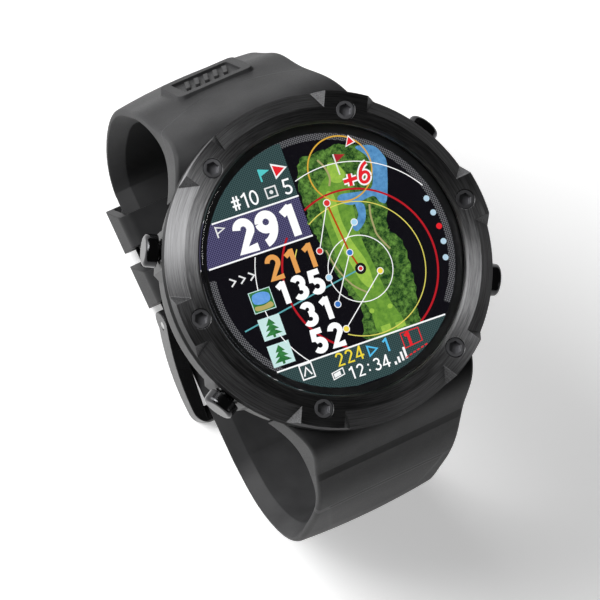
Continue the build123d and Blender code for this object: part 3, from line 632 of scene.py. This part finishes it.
marker.disc(PLAYER[0], PLAYER[1], 0.86, 24)
marker.done()

# small square signs at the left of the lower numbers
sign_back = Picture("screen_signs", lit("screen_sign_lit", (0.62, 0.85, 0.83), 1.0), 8)
SIGN_TREE_LIT = lit("screen_sign_tree_lit", (0.015, 0.12, 0.03), 1.0, (0.05, 0.26, 0.07), "grass")
sign_dark = Picture("screen_sign_trees", SIGN_TREE_LIT, 10)
SIGN_POND_LIT = lit("screen_sign_pond_lit", (0.1, 0.3, 0.72), 1.0, (0.18, 0.42, 0.85), "water")
sign_pond = Picture("screen_sign_pond", SIGN_POND_LIT, 11)
sign_sand = Picture("screen_sign_sand", lit("screen_sign_sand_lit", (0.5, 0.42, 0.14), 1.0), 12)
u0, u1 = -13.9, -10.45
for v1, v0 in ((-0.75, -4.0), (-4.9, -8.2), (-9.0, -12.3)):
    sign_back.shape([(u0, v0), (u1, v0), (u1, v1), (u0, v1)])
    mid = (u0 + u1) / 2
    if v1 > -1:
        a0, a1, b0, b1 = u0 + 0.12, u1 - 0.12, v0 + 0.12, v1 - 0.12
        sign_dark.shape([(a0, b0), (a1, b0), (a1, b1), (a0, b1)])
        continue
    for k in range(3):
        top = v1 - 0.25 - 0.75 * k
        half = 0.75 + 0.3 * k
        sign_dark.shape([(mid - half, top - 1.0), (mid + half, top - 1.0), (mid, top)])
    trunk = [(mid - 0.2, v0 + 0.15), (mid + 0.2, v0 + 0.15), (mid + 0.2, v0 + 0.9), (mid - 0.2, v0 + 0.9)]
    sign_dark.shape(trunk)
POND = [(-13.4, -1.3), (-12.0, -1.1), (-10.9, -1.6), (-11.0, -2.6), (-12.2, -2.9), (-13.5, -2.5)]
SHORE = [(-13.5, -3.0), (-12.2, -3.1), (-11.0, -2.9), (-10.8, -3.6), (-12.2, -3.75), (-13.5, -3.6)]
sign_pond.shape(smooth(POND))
sign_sand.shape(smooth(SHORE))
for p in (sign_back, sign_dark, sign_pond, sign_sand):
    p.done()

tag = Picture("screen_tags", lit("screen_tag_lit", (0.1, 0.62, 0.62), 1.0), 9)
tag.stroke([(-6.1, 14.1), (-6.1, 16.0)], 0.28)
tag.shape([(-6.0, 16.0), (-6.0, 14.9), (-4.5, 15.45)])
tag.done()
tag2 = Picture("screen_tag_marks", lit("screen_tag_marks_lit", (0.85, 0.85, 0.85), 1.0), 9)
tag2.stroke([(-15.2, 8.3), (-15.2, 9.9), (-13.9, 9.4), (-15.2, 8.9)], 0.24)
tag2.stroke([(-6.1, 11.5), (-4.5, 11.5), (-4.5, 13.0), (-6.1, 13.0)], 0.22, True)
tag2.disc(-5.3, 12.25, 0.3, 12)
for k in range(3):
    tag2.stroke([(-15.8 + 1.5 * k, 0.9), (-15.0 + 1.5 * k, 1.5), (-15.8 + 1.5 * k, 2.1)], 0.24)
tag2.done()

# ------------------------------------------------------------------ stage, lights, camera
floor_m, ft, fs = material("paper_floor")
at = object_space(ft)
fs.inputs["Roughness"].default_value = 0.85
fs.inputs["Emission Color"].default_value = (1, 1, 1, 1)
fs.inputs["Emission Strength"].default_value = 0.42
paper = tint(ft, noise(ft, at, 6.0, 4), (0.93, 0.93, 0.93), (0.96, 0.96, 0.96))
ft.links.new(paper, fs.inputs["Base Color"])
bm = bmesh.new()
bmesh.ops.create_grid(bm, x_segments=8, y_segments=8, size=3.0)
floor_mesh = bpy.data.meshes.new("floor")
bm.to_mesh(floor_mesh)
bm.free()
floor_mesh.materials.append(floor_m)
floor = bpy.data.objects.new("floor", floor_mesh)
bpy.context.scene.collection.objects.link(floor)

CAM_TURN = (-0.0222, 0.2936, 0.427)  # radians, from the world's axes to the camera's
CAM_SHIFT = (5.0802, 6.122)          # where the dial's centre sits right of and above the view's centre, mm
CAM_DISTANCE = 580.0                 # from the dial's centre, mm
CAM_FIELD = 8.66                     # degrees
to_view = Euler(CAM_TURN).to_matrix()
to_world = to_view.transposed()
dial_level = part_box("bezel")[1].z
centre = Vector((0, 0, dial_level))
cam_data = bpy.data.cameras.new("camera")
cam_data.sensor_width = 36.0
cam_data.angle = math.radians(CAM_FIELD)
cam_data.clip_start, cam_data.clip_end = 0.05, 20.0
cam = bpy.data.objects.new("camera", cam_data)
from_dial = to_world @ Vector((-CAM_SHIFT[0], -CAM_SHIFT[1], CAM_DISTANCE)) * MM
cam.matrix_world = Matrix.Translation(centre + from_dial) @ to_world.to_4x4()
bpy.context.scene.collection.objects.link(cam)
bpy.context.scene.camera = cam
aim = Vector((0, 0, dial_level * 0.8))


def area(name, right, up, back, distance, size, power, tall=None):
    """A soft box, placed by its direction from the watch as the camera sees it."""
    data = bpy.data.lights.new(name, "AREA")
    data.shape = "RECTANGLE"
    data.size, data.size_y, data.energy = size, tall or size, power
    obj = bpy.data.objects.new(name, data)
    way = (to_world @ Vector((right, up, back))).normalized()
    obj.location = aim + way * distance
    obj.rotation_euler = way.to_track_quat("Z", "Y").to_euler()
    bpy.context.scene.collection.objects.link(obj)
    return obj


area("key_light", -0.74, 0.46, 0.48, 0.9, 0.7, 8.0)
area("fill_light", 0.8, -0.5, 0.3, 1.0, 0.4, 0.4)
area("front_light", -0.52, 0.4, 0.76, 1.1, 0.5, 8.0)

world = bpy.data.worlds.new("studio")
bpy.context.scene.world = world
world.use_nodes = True
world.node_tree.nodes["Background"].inputs["Color"].default_value = (1, 1, 1, 1)
world.node_tree.nodes["Background"].inputs["Strength"].default_value = 0.05
bpy.context.scene.view_settings.view_transform = "Standard"
